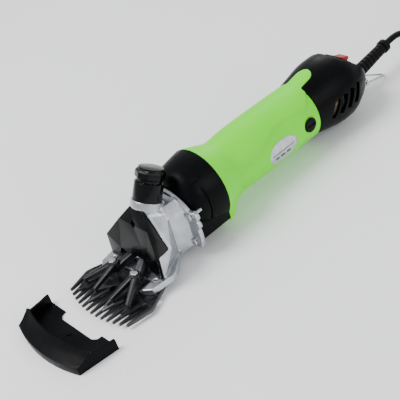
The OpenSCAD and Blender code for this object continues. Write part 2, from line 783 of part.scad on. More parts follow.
module switch_rocker() {
  color([0.78, 0.1, 0.12]) panel_frame() translate([0, -5.3, -1.2]) rotate([-90, 0, 0]) linear_extrude(10.6)
    polygon([[-7.6, -1.9], [-7, -3], [0, -4.4], [6.6, -7.3], [7.7, -6.4], [7.4, 0.5], [2.5, 2.6], [-2.5, 2.6],
      [-7.4, 0.5]]);
  color([0.78, 0.1, 0.12]) panel_frame() rotate([90, 0, 0]) translate([0, -1.2, -6.3]) cylinder(r = 1, h = 12.6);
}
module terminal_block() {
  color([0.85, 0.85, 0.82]) tool() difference() {
    block([196, -9, -22], [210, 9, -12]);
    for (y = [-5.5, 0, 5.5]) translate([203, y, -18]) cylinder(r = 1.6, h = 10);
  }
}
module capacitor() {
  color([0.75, 0.6, 0.2]) tool() block([174, -23, -12], [188, -16, -1]);
}
module cord_clamp() {
  color(black) tool() {
    difference() {
      block([214, -10, -14], [220, 10, -9.6]);
      both_sides() translate([217, 7.5, -20]) cylinder(r = 1.5, h = 20);
    }
    both_sides() translate([217, 7.5, -14]) cylinder(r = 1.45, h = 5.4);
  }
}
module cord_guard() {
  color(black) tool() guard_axis() difference() {
    union() {
      translate([0, 0, -9.6]) cylinder(r = 7.1, h = 1.9);
      translate([0, 0, -8]) cylinder(r = 6.7, h = 11);
      for (k = [0 : 7]) translate([0, 0, 3 + k * 5]) cylinder(r = 6.5 - k * 0.14, h = 4);
      cylinder(r = 5.1, h = 46);
      translate([0, 0, 43]) cylinder(r = 6.6, h = 5);
    }
    translate([0, 0, -12]) cylinder(r = cord_d / 2 + fit, h = 62);
  }
}
module loop_pin() {
  color(steel) tool() both_sides() translate([238, 15.6, -13]) rotate([90, 0, 0]) {
    cylinder(r = 1, h = 8.5);
    cylinder(r = 1.9, h = 0.9);
  }
}
// Wire loop: an eye on each pin and two legs that meet at a rounded tip
loop_drop = 22;
module hanging_loop() {
  wire = 0.9;
  color(steel) tool() translate([238, 0, -13]) rotate([0, loop_drop, 0]) {
    both_sides() {
      translate([0, 13.4, 0]) rotate([90, 0, 0]) rotate_extrude() translate([2.1, 0]) circle(r = wire, $fn = 16);
      hull() {
        translate([2.4, 13.4, 0]) sphere(r = wire, $fn = 16);
        translate([43, 1.8, 0]) sphere(r = wire, $fn = 16);
      }
    }
    translate([43, 0, 0]) rotate([0, 0, -90]) rotate_extrude(angle = 180) translate([1.8, 0]) circle(r = wire, $fn = 16);
  }
}

// ---------- comb guard, lying on the floor in front of the comb ----------
shield_x = -147.5;
shield_bulge = 6.5;
shield_wall = 2;
shield_t = 1.6;
shield_plate_x = -120;
shield_arm_x = -113;
function shield_arc(half, x, n = 10) = let (rad = (half * half + shield_bulge * shield_bulge) / (2 * shield_bulge),
  span = asin(half / rad)) [for (k = [0 : n]) let (a = span * (2 * k / n - 1))
    [x + rad - shield_bulge - rad * cos(a), rad * sin(a)]];
module shield_outline(inset, rear) {
  polygon(concat(shield_arc(shield_front - inset, shield_x + inset),
    [[rear, shield_rear - inset], [rear, -shield_rear + inset]]));
}
// Front band and the hood that rises from it, as one section swept along the front arc
module shield_hood() {
  section = [[0, 0], [0, shield_h - 7.5], [3.5, shield_h - 6.4], [7.5, shield_h - 4.2], [11, shield_h - 2],
    [13, shield_h], [14.2, shield_h], [12.6, shield_h - 2.8], [8.6, shield_h - 5.6], [2, shield_h - 8.4], [2, 0]];
  arc = shield_arc(shield_front, shield_x);
  m = len(section);
  last = (len(arc) - 1) * m;
  polyhedron(points = [for (p = arc, q = section) [p[0] + q[0], p[1], q[1]]], faces = concat(
    [[for (j = [0 : m - 1]) j]],
    [for (k = [0 : len(arc) - 2], j = [0 : m - 1]) let (a = k * m + j, b = k * m + (j + 1) % m)
      [a, a + m, b + m, b]],
    [[for (j = [m - 1 : -1 : 0]) last + j]]), convexity = 4);
}
module shield_side_profile() {
  translate([shield_x, 60, 0]) rotate([90, 0, 0]) linear_extrude(120) polygon([[0, 0], [0, shield_h - 7.5],
    [3.5, shield_h - 6.4], [7.5, shield_h - 4.2], [11, shield_h - 2], [13, shield_h], [15, shield_h - 3.4],
    [24, shield_h - 4.4], [50, shield_h - 5.4], [50, 0]]);
}
module comb_guard() {
  color(black) translate([-origin_x, 0, 0]) {
    difference() {
      union() {
        linear_extrude(shield_t) shield_outline(0, shield_arm_x);
        intersection() {
          linear_extrude(shield_h) difference() {
            shield_outline(0, shield_arm_x);
            shield_outline(shield_wall, shield_arm_x + 1);
          }
          shield_side_profile();
        }
      }
      // Rear edge of the plate: straight in the middle with a round lobe at each side
      translate([0, 0, -1]) linear_extrude(4) offset(r = 2) offset(delta = -2) polygon([[shield_plate_x, -20],
        [shield_plate_x, 20], [-117, 24], [-110, 25], [-110, 31], [-90, 31], [-90, -31], [-110, -31],
        [-110, -25], [-117, -24]]);
    }
    shield_hood();
    translate([-127, 2, shield_t - 0.05]) scale([1, 1.4, 1]) cylinder(r = 2.2, h = 0.9);
  }
}

// ---------- mains lead ----------
// Route of the lead from inside the guard to the coil, in the row's frame
lead_route = [[213, 0, 29.1], [219, 0, 29.9], [226, 0, 30.7], [234, 0, 30.9], [243, 1, 29], [252, 2, 24.5],
  [261, 4, 18.5], [270, 6, 12.5], [279, 9, 7.8], [288, 13, 4.8], [294, 16, 4.2]];
tail_route = [[322, -63, 23.4], [312, -63, 22], [303, -63, 18.5], [295, -63, 15], [288, -63, 13.6], [281, -63, 13]];
coil_centre = [325, -20];
coil_r = 37;
coil_cols = 3;
coil_rows = 4;
coil_lift = 1;
plug_at = [284, -63, 13];
pin_y = 9.5;
pin_r = 2.4;

function unit(v) = v / norm(v);
function tangent(route, i) = let (n = len(route) - 1)
  unit(route[min(i + 1, n)] - route[max(i - 1, 0)]);
function ring_at(p, t, r, sides) = let (side = unit(cross(t, [0, 0, 1])), up = cross(side, t))
  [for (k = [0 : sides - 1]) p + r * (cos(360 * k / sides) * side + sin(360 * k / sides) * up)];
module lead_tube(route) {
  sides = 12;
  n = len(route);
  points = [for (i = [0 : n - 1]) each ring_at(route[i], tangent(route, i), cord_d / 2, sides)];
  polyhedron(points = points, faces = concat(
    [[for (k = [0 : sides - 1]) k]],
    [for (i = [0 : n - 2], k = [0 : sides - 1]) let (a = i * sides + k, b = i * sides + (k + 1) % sides)
      [a, a + sides, b + sides, b]],
    [[for (k = [sides - 1 : -1 : 0]) (n - 1) * sides + k]]), convexity = 4);
}
module power_cord() { color(black) lead_tube(lead_route); }
module cord_tail() { color(black) lead_tube(tail_route); }
module cord_coil() {
  half_w = coil_cols * cord_d / 2;
  color(black) translate([coil_centre[0], coil_centre[1], coil_lift]) rotate_extrude()
    translate([coil_r - half_w, 0]) square([2 * half_w, coil_rows * cord_d]);
}
module cord_tie() {
  half_w = coil_cols * cord_d / 2 + 0.1;
  high = coil_rows * cord_d + 0.1;
  color([0.12, 0.12, 0.13]) translate([coil_centre[0] + coil_r, coil_centre[1], 0]) difference() {
    translate([-half_w - 0.9, -5, 0]) cube([2 * half_w + 1.8, 10, high + coil_lift + 0.9]);
    translate([-half_w, -6, coil_lift - 0.1]) cube([2 * half_w, 12, high]);
  }
}
module plug_body() {
  color(black) translate(plug_at) rotate([0, -90, 0]) {
    difference() {
      union() {
        cylinder(r1 = 4.6, r2 = 7, h = 16);
        translate([0, 0, 15.5]) intersection() {
          cylinder(r1 = 13, r2 = 17, h = 20);
          translate([-12.9, -20, 0]) cube([25.8, 40, 40]);
        }
      }
      translate([0, 0, -1]) cylinder(r = cord_d / 2 + fit, h = 5);
      for (s = [-1, 1]) translate([0, s * pin_y, 25]) cylinder(r = 2.25, h = 12);
    }
  }
}
module plug_pins() {
  color([0.8, 0.78, 0.7]) translate(plug_at) rotate([0, -90, 0]) for (s = [-1, 1]) translate([0, s * pin_y, 0]) {
    translate([0, 0, 25.05]) cylinder(r = 2.2, h = 10.9);
    translate([0, 0, 35.9]) cylinder(r = pin_r, h = 15.6);
    translate([0, 0, 51.5]) cylinder(r1 = pin_r, r2 = 1.5, h = 1.5);
  }
}

head_casting();
face_cover();
face_cover_screw();
flange_screws();
comb();
comb_screws();
fulcrum_post();
tension_sleeve();
gear_housing();
crank_bearings();
motor_plate();
motor_bearings();
grip_housing();
rating_label();
stator_core();
field_windings();
brush_holders();
carbon_brushes();
brush_springs();
brush_caps();
air_baffle();
rear_bracket();
rear_cover();
rear_cover_screws();
switch_body();
terminal_block();
capacitor();
cord_clamp();
cord_guard();
loop_pin();
motor_shaft();
armature_core();
armature_windings();
commutator();
cooling_fan();
motor_pinion();
crank_shaft();
driven_gear();
crank_roller();
fork();
fork_cup();
yoke_left();
yoke_right();
yoke_screws();
cutter();
tension_pin();
tension_knob();
tension_spring();
switch_rocker();
hanging_loop();
comb_guard();
power_cord();
cord_coil();
cord_tie();
cord_tail();
plug_body();
plug_pins();
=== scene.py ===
import math

import bmesh
import bpy
import numpy as np
from mathutils import Matrix, Vector
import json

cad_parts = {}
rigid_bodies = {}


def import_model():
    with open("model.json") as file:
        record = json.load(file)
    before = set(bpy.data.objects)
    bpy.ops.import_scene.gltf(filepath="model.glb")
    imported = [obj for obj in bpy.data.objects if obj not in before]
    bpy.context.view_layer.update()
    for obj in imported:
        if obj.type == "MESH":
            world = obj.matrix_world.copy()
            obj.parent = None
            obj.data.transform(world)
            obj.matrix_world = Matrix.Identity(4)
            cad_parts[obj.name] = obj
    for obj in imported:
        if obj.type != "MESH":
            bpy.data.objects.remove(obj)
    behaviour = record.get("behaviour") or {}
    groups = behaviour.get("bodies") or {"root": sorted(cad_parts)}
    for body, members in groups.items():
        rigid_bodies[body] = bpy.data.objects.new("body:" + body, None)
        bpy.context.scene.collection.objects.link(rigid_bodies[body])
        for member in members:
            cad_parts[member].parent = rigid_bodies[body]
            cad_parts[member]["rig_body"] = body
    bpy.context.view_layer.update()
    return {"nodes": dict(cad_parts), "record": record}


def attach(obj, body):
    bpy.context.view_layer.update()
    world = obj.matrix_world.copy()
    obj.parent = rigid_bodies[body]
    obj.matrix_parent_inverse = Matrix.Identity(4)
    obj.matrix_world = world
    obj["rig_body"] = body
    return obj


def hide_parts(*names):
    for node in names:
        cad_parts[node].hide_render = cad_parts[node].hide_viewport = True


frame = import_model()

# The tool's own frame, in mm: x runs rearward along the motor axis from the head flange.
# It lies tilted in the row's frame, because it rests on its comb screws and its rear cover.
MM = 0.001
REST_TILT = math.radians(1.554)
REST_LIFT = 38.49
ORIGIN_X = 67.5
TOOL = Matrix.Scale(MM, 4) @ Matrix.Translation((-ORIGIN_X, 0, REST_LIFT)) @ Matrix.Rotation(REST_TILT, 4, "Y")


# ---------- camera ----------
def make_camera():
    """Looks down on the near side from ahead of the comb, with the horizon rolled."""
    place = Vector((-0.3600, -0.4829, 0.4453))
    aim = Vector((-0.0353, 0.0083, 0.0174))
    roll = math.radians(17.8)
    camera = bpy.data.objects.new("camera", bpy.data.cameras.new("camera"))
    bpy.context.scene.collection.objects.link(camera)
    camera.data.lens = 76.68
    camera.data.sensor_width = 36
    camera.data.clip_start = 0.01
    look = (aim - place).to_track_quat("-Z", "Y").to_matrix().to_4x4()
    camera.matrix_world = Matrix.Translation(place) @ look @ Matrix.Rotation(-roll, 4, "Z")
    bpy.context.scene.camera = camera


make_camera()


# ---------- materials ----------
def ramp(nodes, links, source, low, high, at=(0.35, 0.65)):
    """A colour ramp between two colours, driven by a node's first value output."""
    node = nodes.new("ShaderNodeValToRGB")
    node.color_ramp.elements[0].position = at[0]
    node.color_ramp.elements[1].position = at[1]
    node.color_ramp.elements[0].color = (*low, 1)
    node.color_ramp.elements[1].color = (*high, 1)
    links.new(source, node.inputs[0])
    return node.outputs[0]


def noise(nodes, links, where, scale, detail=3.0, stretch=None):
    node = nodes.new("ShaderNodeTexNoise")
    node.inputs["Scale"].default_value = scale
    node.inputs["Detail"].default_value = detail
    source = where
    if stretch:
        mapping = nodes.new("ShaderNodeMapping")
        mapping.inputs["Scale"].default_value = stretch
        links.new(where, mapping.inputs[0])
        source = mapping.outputs[0]
    links.new(source, node.inputs["Vector"])
    return node.outputs["Fac"]


def bump(nodes, links, height, strength, distance, under=None):
    node = nodes.new("ShaderNodeBump")
    node.inputs["Strength"].default_value = strength
    node.inputs["Distance"].default_value = distance
    links.new(height, node.inputs["Height"])
    if under:
        links.new(under, node.inputs["Normal"])
    return node.outputs[0]


def finish(name, tones, rough=(0.35, 0.5), metal=0.0, patch=60, grain=1800, grain_depth=0.00003,
           grain_strength=0.35, stretch=None, wear=None, coat=0.0, specular=0.5, ripple=None):
    """A surface with two tones in soft patches, fine grain, uneven gloss and lighter worn edges."""
    made = bpy.data.materials.new(name)
    made.use_nodes = True
    nodes, links = made.node_tree.nodes, made.node_tree.links
    shader = nodes["Principled BSDF"]
    where = nodes.new("ShaderNodeTexCoord").outputs["Object"]
    colour = ramp(nodes, links, noise(nodes, links, where, patch, 4, stretch), tones[0], tones[1])
    if wear:
        edge = nodes.new("ShaderNodeNewGeometry").outputs["Pointiness"]
        mask = ramp(nodes, links, edge, (0, 0, 0), (1, 1, 1), (0.52, 0.6))
        mix = nodes.new("ShaderNodeMix")
        mix.data_type = "RGBA"
        links.new(mask, mix.inputs["Factor"])
        links.new(colour, mix.inputs["A"])
        mix.inputs["B"].default_value = (*wear, 1)
        colour = mix.outputs["Result"]
    links.new(colour, shader.inputs["Base Color"])
    low, high = ((r, r, r) for r in rough)
    links.new(ramp(nodes, links, noise(nodes, links, where, patch * 4, 3, stretch), low, high),
              shader.inputs["Roughness"])
    normal = bump(nodes, links, noise(nodes, links, where, grain, 2, stretch), grain_strength, grain_depth)
    if ripple:
        normal = bump(nodes, links, noise(nodes, links, where, ripple[0], 2), ripple[1], ripple[2], normal)
    links.new(normal, shader.inputs["Normal"])
    shader.inputs["Metallic"].default_value = metal
    shader.inputs["Coat Weight"].default_value = coat
    shader.inputs["Specular IOR Level"].default_value = specular
    return made


MATERIALS = {
    "lime_plastic": finish("lime_plastic", ((0.135, 0.80, 0.0015), (0.155, 0.85, 0.002)), (0.42, 0.5), patch=30,
                           grain=2600, grain_depth=0.00002, grain_strength=0.25, specular=0.25),
    "black_plastic": finish("black_plastic", ((0.0012, 0.0013, 0.0017), (0.0021, 0.0023, 0.0028)), (0.32, 0.42),
                            patch=50, grain=2200, grain_depth=0.00003, grain_strength=0.35, specular=0.07),
    "gloss_black": finish("gloss_black", ((0.0012, 0.0013, 0.0016), (0.002, 0.0021, 0.0026)), (0.16, 0.26),
                          patch=50, grain=1500, grain_depth=0.00002, grain_strength=0.2, coat=0.05, specular=0.14),
    "cast_aluminium": finish("cast_aluminium", ((0.40, 0.42, 0.455), (0.53, 0.545, 0.57)), (0.26, 0.38), 0.92,
                             patch=90, grain=900, grain_depth=0.00006, grain_strength=0.35,
                             wear=(0.72, 0.73, 0.75), ripple=(160, 0.15, 0.0003)),
    "dark_steel": finish("dark_steel", ((0.010, 0.010, 0.012), (0.024, 0.024, 0.027)), (0.25, 0.4), 0.7, patch=140,
                         grain=1200, stretch=(0.15, 1, 1), grain_strength=0.4, wear=(0.13, 0.13, 0.14)),
    "black_steel": finish("black_steel", ((0.005, 0.005, 0.006), (0.011, 0.011, 0.012)), (0.28, 0.42), 0.4,
                          patch=120, grain=1300, grain_strength=0.4, wear=(0.07, 0.07, 0.08)),
    "bright_steel": finish("bright_steel", ((0.5, 0.5, 0.52), (0.66, 0.66, 0.67)), (0.18, 0.32), 1.0, patch=200,
                           grain=1600, stretch=(1, 0.2, 1), grain_strength=0.3),
    "core_steel": finish("core_steel", ((0.2, 0.2, 0.21), (0.32, 0.32, 0.33)), (0.3, 0.5), 0.9, patch=400,
                         grain=2500, stretch=(6, 0.3, 0.3), grain_strength=0.8),
    "copper": finish("copper", ((0.42, 0.15, 0.05), (0.62, 0.26, 0.1)), (0.22, 0.4), 0.9, patch=500,
                     grain=1800, stretch=(0.4, 2, 2), grain_strength=0.9, grain_depth=0.0001),
    "carbon": finish("carbon", ((0.02, 0.02, 0.02), (0.045, 0.045, 0.045)), (0.55, 0.7), grain=2600),
    "brush_brass": finish("brush_brass", ((0.45, 0.3, 0.1), (0.6, 0.42, 0.17)), (0.25, 0.4), 1.0),
    "red_plastic": finish("red_plastic", ((0.42, 0.002, 0.005), (0.5, 0.004, 0.008)), (0.34, 0.44), patch=80,
                          grain_strength=0.1, specular=0.12),
    "white_plastic": finish("white_plastic", ((0.68, 0.67, 0.62), (0.78, 0.77, 0.73)), (0.4, 0.5)),
    "amber_plastic": finish("amber_plastic", ((0.2, 0.13, 0.095), (0.3, 0.21, 0.16)), (0.3, 0.42)),
    "cord_pvc": finish("cord_pvc", ((0.0018, 0.0018, 0.0022), (0.003, 0.003, 0.0035)), (0.4, 0.52), patch=90,
                       grain=2400, grain_strength=0.5, specular=0.12),
    "pin_nickel": finish("pin_nickel", ((0.62, 0.6, 0.55), (0.74, 0.72, 0.67)), (0.14, 0.26), 1.0, patch=200,
                         grain_strength=0.15),
    "label_foil": finish("label_foil", ((0.47, 0.48, 0.53), (0.6, 0.61, 0.66)), (0.28, 0.4), 0.55, patch=160,
                         grain=1500, grain_strength=0.15),
    "label_ink": finish("label_ink", ((0.03, 0.03, 0.04), (0.06, 0.06, 0.07)), (0.4, 0.5)),
}
SLOT_OF = {s["node"]: s["material_slot"] for s in frame["record"]["subparts"]}


def dress(obj, slot, material=None):
    obj.data.materials.clear()
    obj.data.materials.append(MATERIALS[material or slot])


for node_name, node_object in frame["nodes"].items():
    node_object.data.materials.clear()
    node_object.data.materials.append(MATERIALS[SLOT_OF[node_name]])


# ---------- mesh helpers ----------
def piece(name, verts, faces, slot, body="housing", replaces=(), matrix=TOOL, smooth=True, material=None):
    """One mesh from points in mm, placed by its frame, with its finish, its body and the nodes it stands for."""
    mesh = bpy.data.meshes.new(name)
    mesh.from_pydata([tuple(matrix @ Vector(v)) for v in verts], [], [list(f) for f in faces])
    mesh.validate()
    cleaner = bmesh.new()
    cleaner.from_mesh(mesh)
    bmesh.ops.remove_doubles(cleaner, verts=cleaner.verts, dist=0.00002)
    bmesh.ops.recalc_face_normals(cleaner, faces=cleaner.faces)
    cleaner.to_mesh(mesh)
    cleaner.free()
    obj = bpy.data.objects.new(name, mesh)
    bpy.context.scene.collection.objects.link(obj)
    mesh.polygons.foreach_set("use_smooth", [smooth] * len(mesh.polygons))
    dress(obj, slot, material)
    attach(obj, body)
    if replaces:
        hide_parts(*replaces)
    return obj


def apply(obj, kind, **settings):
    """Adds one modifier and bakes it into the mesh."""
    modifier = obj.modifiers.new(kind.lower(), kind)
    for key, value in settings.items():
        setattr(modifier, key, value)
    shape = obj.evaluated_get(bpy.context.evaluated_depsgraph_get())
    mesh = bpy.data.meshes.new_from_object(shape)
    obj.modifiers.clear()
    old = obj.data
    obj.data = mesh
    bpy.data.meshes.remove(old)
    return obj


def shade(obj, angle=40):
    """Smooth shading that keeps edges sharper than the angle."""
    mesh = obj.data
    mesh.polygons.foreach_set("use_smooth", [True] * len(mesh.polygons))
    edges = bmesh.new()
    edges.from_mesh(mesh)
    for edge in edges.edges:
        edge.smooth = len(edge.link_faces) == 2 and edge.calc_face_angle(0) < math.radians(angle)
    edges.to_mesh(mesh)
    edges.free()
    return obj


def refined(node, bevel=0.3, segments=3, angle=30, remesh=None, relax=0):
    """A copy of a CAD node with its edges rounded by bevel mm where they are sharper than the angle, or remeshed
    in voxels of remesh mm and relaxed where the real one is a casting."""
    source = frame["nodes"][node]
    mesh = source.data.copy()
    obj = bpy.data.objects.new(node + "_shell", mesh)
    bpy.context.scene.collection.objects.link(obj)
    work = bmesh.new()
    work.from_mesh(mesh)
    bmesh.ops.remove_doubles(work, verts=work.verts, dist=0.00001)
    bmesh.ops.dissolve_limit(work, angle_limit=math.radians(2), verts=work.verts, edges=work.edges)
    work.to_mesh(mesh)
    work.free()
    if remesh:
        apply(obj, "REMESH", mode="VOXEL", voxel_size=remesh * MM)
        apply(obj, "SMOOTH", factor=0.5, iterations=relax)
        obj.data.polygons.foreach_set("use_smooth", [True] * len(obj.data.polygons))
    elif bevel:
        apply(obj, "BEVEL", width=bevel * MM, segments=segments, limit_method="ANGLE",
              angle_limit=math.radians(angle), harden_normals=False)
        shade(obj)
    dress(obj, SLOT_OF[node])
    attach(obj, source["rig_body"])
    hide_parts(node)
    return obj


def smoothstep(a, b, t):
    t = np.clip((t - a) / (b - a), 0, 1)
    return t * t * (3 - 2 * t)


def grid_faces(rows, cols, wrap=True, flip=False):
    """Quads over a grid of rows by cols points, closed round each row when wrap is set."""
    faces = []
    for i in range(rows - 1):
        for j in range(cols if wrap else cols - 1):
            k = (j + 1) % cols
            quad = (i * cols + j, i * cols + k, (i + 1) * cols + k, (i + 1) * cols + j)
            faces.append(quad[::-1] if flip else quad)
    return faces


def closed_sleeve(outer, inner):
    """Verts and faces of a tube between two grids of points, each (rows, cols, 3), joined at both ends."""
    rows, cols = outer.shape[:2]
    verts = np.concatenate([outer.reshape(-1, 3), inner.reshape(-1, 3)])
    base = rows * cols
    faces = grid_faces(rows, cols)
    faces += [tuple(base + v for v in f) for f in grid_faces(rows, cols, flip=True)]
    for i, turn in ((0, False), (rows - 1, True)):
        for j in range(cols):
            k = (j + 1) % cols
            quad = (i * cols + j, base + i * cols + j, base + i * cols + k, i * cols + k)
            faces.append(quad[::-1] if turn else quad)
    return verts, faces


def around(x, angle, radius):
    """Points of the tool on circles about the motor axis; the angle is 0 at the near side and 90 degrees on top."""
    return np.stack([x + 0 * angle, -radius * np.cos(angle), radius * np.sin(angle)], -1)


# ---------- mains lead ----------
CORD_D = 6.4
LEAD_ROUTE = ((219.8, 0, 30.0), (226, 0, 30.7), (234, 0.1, 30.9), (243, 1, 29), (252, 2, 24.5), (261, 4, 18.5),
              (270, 6, 12.5), (279, 9, 7.8), (288, 13, 4.8), (294, 16, 4.2))
TAIL_ROUTE = ((312, -63.2, 22), (303, -63, 18.5), (295, -63, 15), (288, -63, 13.6), (282.5, -63, 13))
COIL_CENTRE = (325, -20)
COIL_R = 37.0
COIL_FLOOR = 4.2
LAYERS = 4
TURNS_PER_LAYER = 2  # after the first ring of each layer
WHOLE_TURNS = 10
SHIFT_ARC, CLIMB_ARC, FIRST_SHIFT = 60, 40, 300
TAIL_ANGLE = 88


def coil_path(start_angle, start_r, turned_by, step=4.0):
    """Centreline of the coil in mm, clockwise from above: four layers of three rings, inwards and outwards in turn.
    Each layer shifts ring once a turn, and climbs just before it would meet its own first shift."""
    keys_r = [(0, start_r), (30, COIL_R + CORD_D)]
    keys_z = [(0, 0)]
    at, sign, r = FIRST_SHIFT, -1, COIL_R + CORD_D
    for layer in range(LAYERS):
        for _ in range(TURNS_PER_LAYER):
            keys_r += [(at, r), (at + SHIFT_ARC, r + sign * CORD_D)]
            r += sign * CORD_D
            at += 360
        up = at - CLIMB_ARC
        if layer < LAYERS - 1:
            keys_z += [(up, layer * CORD_D), (up + CLIMB_ARC, (layer + 1) * CORD_D)]
        at, sign = up + FIRST_SHIFT, -sign
    points = []
    for phi in np.arange(step, turned_by + 0.01, step):
        def eased(keys):
            for (a, low), (b, high) in zip(keys, keys[1:]):
                if a <= phi <= b:
                    return low + (high - low) * float(smoothstep(a, b, phi))
            return keys[-1][1]
        angle = math.radians(start_angle - phi)
        radius = eased(keys_r)
        points.append((COIL_CENTRE[0] + radius * math.cos(angle), COIL_CENTRE[1] + radius * math.sin(angle),
                       COIL_FLOOR + eased(keys_z)))
    return points


def path_length(points):
    return sum((Vector(a) - Vector(b)).length for a, b in zip(points, points[1:]))


def smooth_path(points, step):
    """Points of a smooth curve through the given ones, about one per step of mm."""
    pts = [Vector(p) for p in points]
    out = []
    for i in range(len(pts) - 1):
        a, b = pts[i], pts[i + 1]
        ta = (b - pts[max(i - 1, 0)]) / (2 if i else 1)
        tb = (pts[min(i + 2, len(pts) - 1)] - a) / (2 if i + 2 < len(pts) else 1)
        n = max(2, round((b - a).length / step))
        for k in range(n):
            t = k / n
            h = (2 * t ** 3 - 3 * t ** 2 + 1, t ** 3 - 2 * t ** 2 + t, 3 * t ** 2 - 2 * t ** 3, t ** 3 - t ** 2)
            out.append(h[0] * a + h[1] * ta + h[2] * b + h[3] * tb)
    out.append(pts[-1])
    return [tuple(p) for p in out]


def make_cord():
    entry = LEAD_ROUTE[-1]
    dx, dy = entry[0] - COIL_CENTRE[0], entry[1] - COIL_CENTRE[1]
    start = math.degrees(math.atan2(dy, dx))
    turned_by = start + TAIL_ANGLE + 360 * WHOLE_TURNS
    coil = coil_path(start, math.hypot(dx, dy), turned_by)
    points = smooth_path([*LEAD_ROUTE, *coil, *TAIL_ROUTE], 3)
    curve = bpy.data.curves.new("power_lead", "CURVE")
    curve.dimensions = "3D"
    spline = curve.splines.new("POLY")
    spline.points.add(len(points) - 1)
    for target, p in zip(spline.points, points):
        target.co = (*(MM * c for c in p), 1)
    curve.bevel_depth = CORD_D / 2 * MM
    curve.bevel_resolution = 5
    curve.use_fill_caps = True
    lead = bpy.data.objects.new("power_lead", curve)
    bpy.context.scene.collection.objects.link(lead)
    spline.use_smooth = True
    dress(lead, "cord_pvc")
    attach(lead, "housing")
    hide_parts("power_cord", "cord_coil", "cord_tail")
    return lead, points, path_length(points)


lead, lead_points, lead_length = make_cord()


# ---------- CAD nodes with rounded edges ----------
plug = refined("plug_body", 0.8, 3)
pins = refined("plug_pins", 0.3, 2)
tie = refined("cord_tie", 0.5, 3)

refined("head_casting", remesh=0.5, relax=5)
# Width in mm and segments of each rounding, and the least angle of the edges that get it
ROUNDED = {
    "face_cover": (0.5, 3, 5), "gear_housing": (0.5, 3, 35), "rear_cover": (0.5, 3, 35),
    "tension_sleeve": (0.4, 3), "tension_knob": (0.45, 3, 15), "comb": (0.25, 2), "cutter": (0.2, 2),
    "fork": (0.5, 3), "yoke_left": (0.4, 3), "yoke_right": (0.4, 3), "cord_guard": (0.3, 2),
    "switch_body": (0.3, 2), "switch_rocker": (0.5, 3), "comb_guard": (0.6, 3), "hanging_loop": (0,),
    "comb_screws": (0.2, 2), "yoke_screws": (0.2, 2), "flange_screws": (0.2, 2),
    "rear_cover_screws": (0.2, 2), "face_cover_screw": (0.3, 3), "brush_caps": (0.35, 3),
}
for node_name, rounding in ROUNDED.items():
    refined(node_name, *rounding)
bpy.data.objects["face_cover_screw_shell"].data.materials[0] = MATERIALS["black_steel"]


# ---------- grip ----------
GRIP_R = ((32, 34), (35, 33.2), (39, 31.9), (46, 29.4), (51, 27.5), (55, 26.5), (60, 26.4), (68, 26.8),
          (80, 27.2), (134, 27.2), (157, 26.8))
GRIP_CORNER = ((32, 38.9), (36, 38.4), (38.5, 37.8), (40.7, 36.4), (44.8, 32.4), (48, 30.6), (52, 29.2), (60, 27.4),
               (157, 27.2))
SWOOSH = ((40, 12), (60, 15), (70, 18), (80, 19), (89, 26), (99, 35), (110, 40), (124, 40), (138, 34), (144, 33),
          (153, 47), (157, 58))


GRIP_INSIDE = ((32, 29.6), (36, 29.4), (41, 24.8), (60, 24.7), (157, 24.7))
END_CHAMFER = 0.4
REAR_R = ((157, 26.8), (163, 27.9), (168.5, 28.9), (174.5, 30.2), (180, 31.4), (186, 32.4))
TONGUE_HALF = 8.5
TONGUE_ROUND_X = 169.5
TONGUE_T = 1.1
CHEEK_R = 27  # turns an angle on the cheek into mm along it
FOOT_WIDE, FOOT_DEEP, FOOT_POWER = 0.75, 0.724, 14
FOOT_BLEND = 1.2
LINE_STEP, LINE_GROOVE, GROOVE_W = 1.1, 0.7, 0.9
HOLLOW_X, HOLLOW_UP, HOLLOW_DEPTH = 60, 38, 0.9
CAP_X, CAP_RIM, CAP_DEPTH = 143.5, 0.3, 0.7


def curve_through(table, x):
    """Smooth curve through a table of (x, value)."""
    xs, ys = (np.array(c, float) for c in zip(*table))
    slope = np.gradient(ys, xs)
    i = np.clip(np.searchsorted(xs, x, "right") - 1, 0, len(xs) - 2)
    h = xs[i + 1] - xs[i]
    t = np.clip((x - xs[i]) / h, 0, 1)
    return ((2 * t**3 - 3 * t**2 + 1) * ys[i] + (t**3 - 2 * t**2 + t) * h * slope[i]
            + (3 * t**2 - 2 * t**3) * ys[i + 1] + (t**3 - t**2) * h * slope[i + 1])


def grip_radius(x, a):
    """Outer radius of the grip at x and angle a: round, with two corners that fade out of the gear housing's foot,
    a soft raised line over each cheek and a thumb hollow in front of it."""
    r = curve_through(GRIP_R, x)
    corner = curve_through(GRIP_CORNER, x)
    c, s = np.abs(np.cos(a)) + 1e-6, np.maximum(-np.sin(a), 1e-6)
    box = 1 / ((c / (FOOT_WIDE * corner)) ** FOOT_POWER + (s / (FOOT_DEEP * corner)) ** FOOT_POWER) ** (1 / FOOT_POWER)
    box = np.where(np.sin(a) < -0.25, box, 0)
    r = np.maximum(r, box) + FOOT_BLEND * np.log1p(np.exp(-np.abs(r - box) / FOOT_BLEND)) * (box > 0) * 0.6
    # Angle above the horizontal on either cheek, in degrees
    up = np.degrees(np.arcsin(np.sin(a)))
    off = (up - curve_through(SWOOSH, x)) * math.pi / 180 * CHEEK_R
    fade = smoothstep(44, 62, x)
    r = r - LINE_STEP * fade * (1 - smoothstep(-1.5, 0.5, off)) * smoothstep(-42, -10, off)
    r = r - LINE_GROOVE * fade * np.exp(-(off / GROOVE_W) ** 2)
    r = r - HOLLOW_DEPTH * np.exp(-((x - HOLLOW_X) / 11) ** 2 - ((up - HOLLOW_UP) / 22) ** 2)
    # Low rim and sunk seat round the brush cap
    seat = np.hypot(x - CAP_X, up * math.pi / 180 * CHEEK_R)
    return r + CAP_RIM * (1 - smoothstep(9, 12, seat)) - CAP_DEPTH * (1 - smoothstep(6.9, 7.3, seat))


